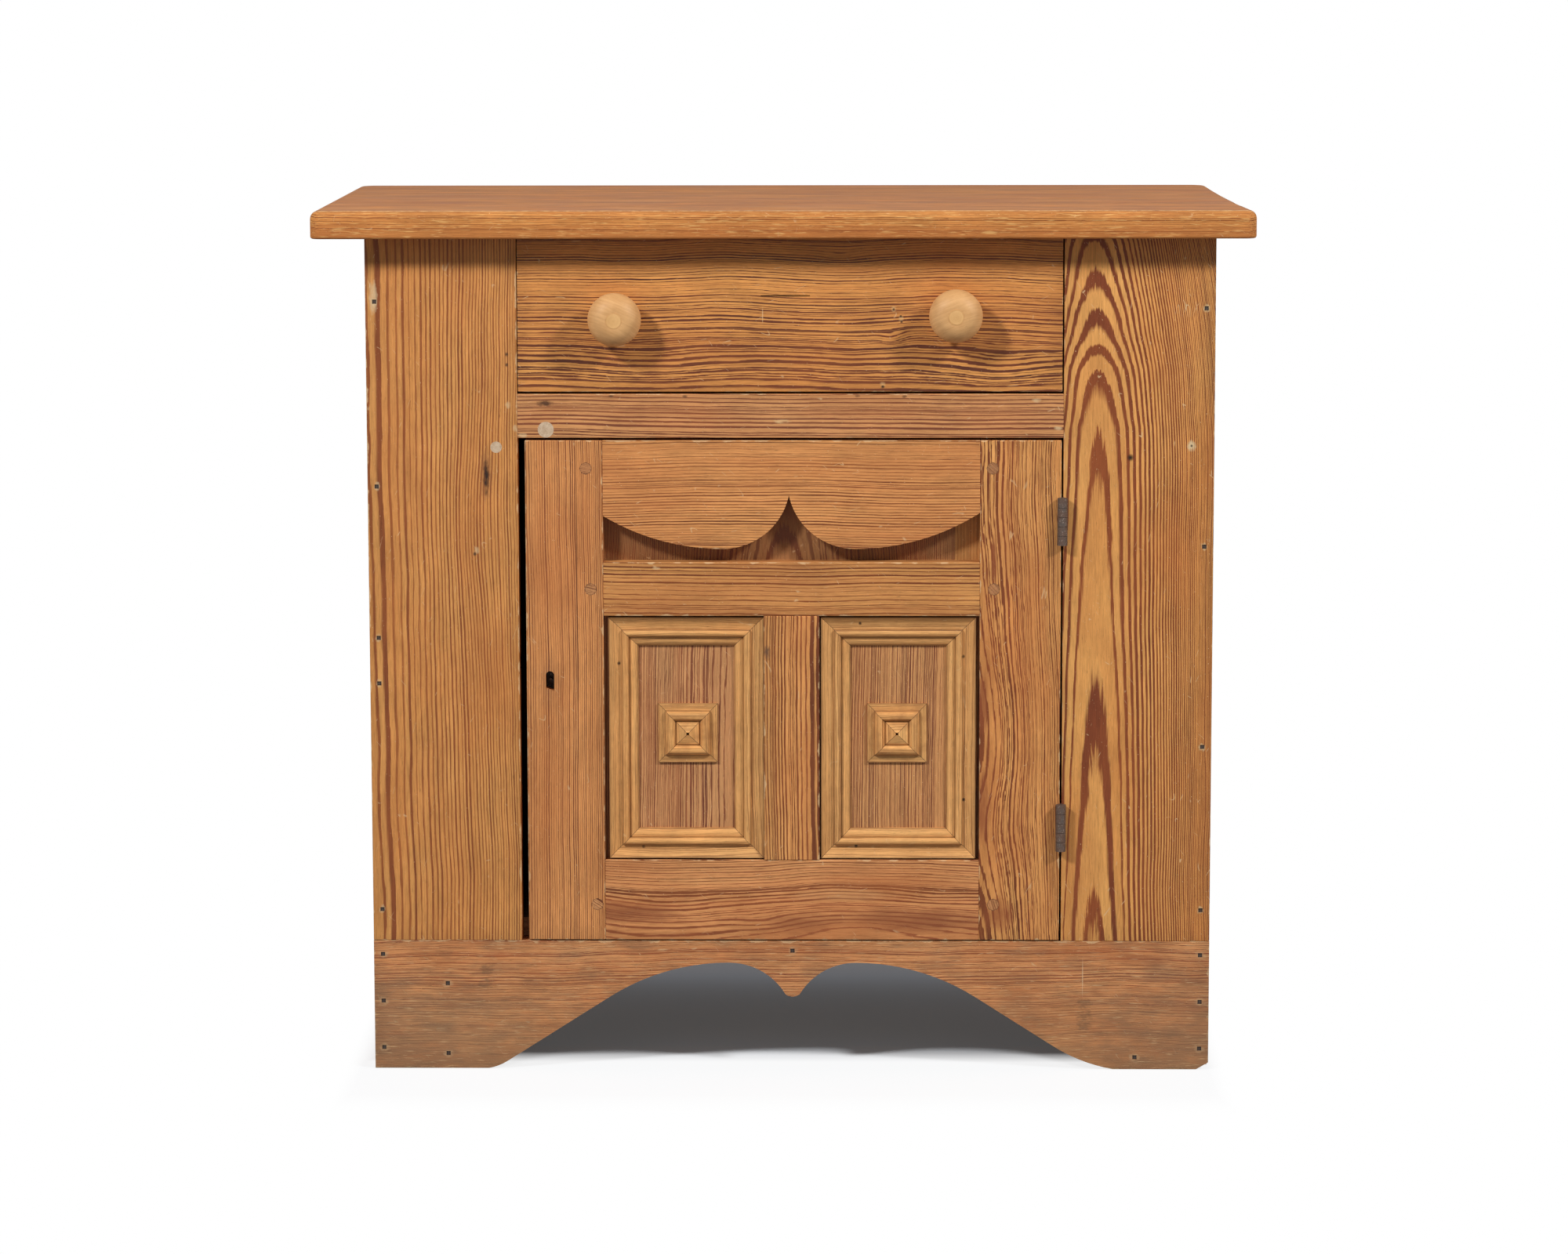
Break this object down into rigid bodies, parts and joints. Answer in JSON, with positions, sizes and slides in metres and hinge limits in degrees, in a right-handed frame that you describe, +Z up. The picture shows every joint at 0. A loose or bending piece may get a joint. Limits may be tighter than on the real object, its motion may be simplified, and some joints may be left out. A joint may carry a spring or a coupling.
{
  "type": "pine commode cupboard with a drawer over a panelled door",
  "caption": "Antique heart-pine cupboard: overhanging top, drawer over a framed door with a scalloped rail and applied mouldings, on a scalloped base.",
  "frame": {"origin": "on the floor, under the middle of the whole cupboard's outline", "axes": "+X to the cupboard's right as it is faced, +Y to its back, +Z up"},
  "size_m": [0.915, 0.4778, 0.8535],
  "materials": {
    "heart_pine": "old worn wax over orange-brown heart pine",
    "moulding_pine": "paler waxed pine",
    "inside_pine": "bare aged pine",
    "birch": "unfinished turned birch",
    "filler_wood": "matt pale filler plug",
    "old_iron": "brown rusted iron"
  },
  "bodies": {
    "case": {"top_board": "heart_pine", "left_side": "heart_pine", "right_side": "heart_pine", "left_stile": "heart_pine", "right_stile": "heart_pine", "drawer_rail": "heart_pine", "base_apron": "heart_pine", "bottom_board": "inside_pine", "left_bottom_cleat": "inside_pine", "right_bottom_cleat": "inside_pine", "front_bottom_cleat": "inside_pine", "foot_blocks": "inside_pine", "left_top_cleat": "inside_pine", "right_top_cleat": "inside_pine", "left_runner": "inside_pine", "right_runner": "inside_pine", "left_guide": "inside_pine", "right_guide": "inside_pine", "runner_bearer": "inside_pine", "back_board_1": "inside_pine", "back_board_2": "inside_pine", "back_board_3": "inside_pine", "back_board_4": "inside_pine", "filler_plugs": "filler_wood", "upper_case_leaf": "old_iron", "lower_case_leaf": "old_iron", "hinge_pins": "old_iron", "case_hinge_screws": "old_iron", "case_nails": "old_iron", "cleat_screws": "old_iron"},
    "drawer": {"drawer_front": "heart_pine", "drawer_left_side": "inside_pine", "drawer_right_side": "inside_pine", "drawer_back": "inside_pine", "drawer_bottom": "inside_pine", "left_knob": "birch", "right_knob": "birch", "knob_plugs": "birch", "knob_screws": "old_iron"},
    "door": {"lock_stile": "heart_pine", "hinge_stile": "heart_pine", "top_rail": "heart_pine", "lock_rail": "heart_pine", "bottom_rail": "heart_pine", "muntin": "heart_pine", "left_panel": "heart_pine", "right_panel": "heart_pine", "upper_panel": "heart_pine", "upper_strip": "heart_pine", "left_moulding": "moulding_pine", "right_moulding": "moulding_pine", "left_rosette": "moulding_pine", "right_rosette": "moulding_pine", "door_pegs": "heart_pine", "upper_door_leaf": "old_iron", "lower_door_leaf": "old_iron", "door_hinge_screws": "old_iron", "lock_case": "old_iron", "lock_screws": "old_iron"},
    "lock_bolt": {"lock_bolt": "old_iron"}
  },
  "joints": [
    {"name": "drawer_slide", "type": "slide", "parent": "case", "child": "drawer", "axis": [0, -1, 0], "range_m": [0, 0.3]},
    {"name": "door_hinge", "type": "hinge", "parent": "case", "child": "door", "pos_m": [0.27255, -0.2106, 0.3967], "axis": [0, 0, 1], "range_deg": [0, 170]},
    {"name": "bolt_slide", "type": "slide", "parent": "door", "child": "lock_bolt", "axis": [-1, 0, 0], "range_m": [0, 0.014]}
  ]
}
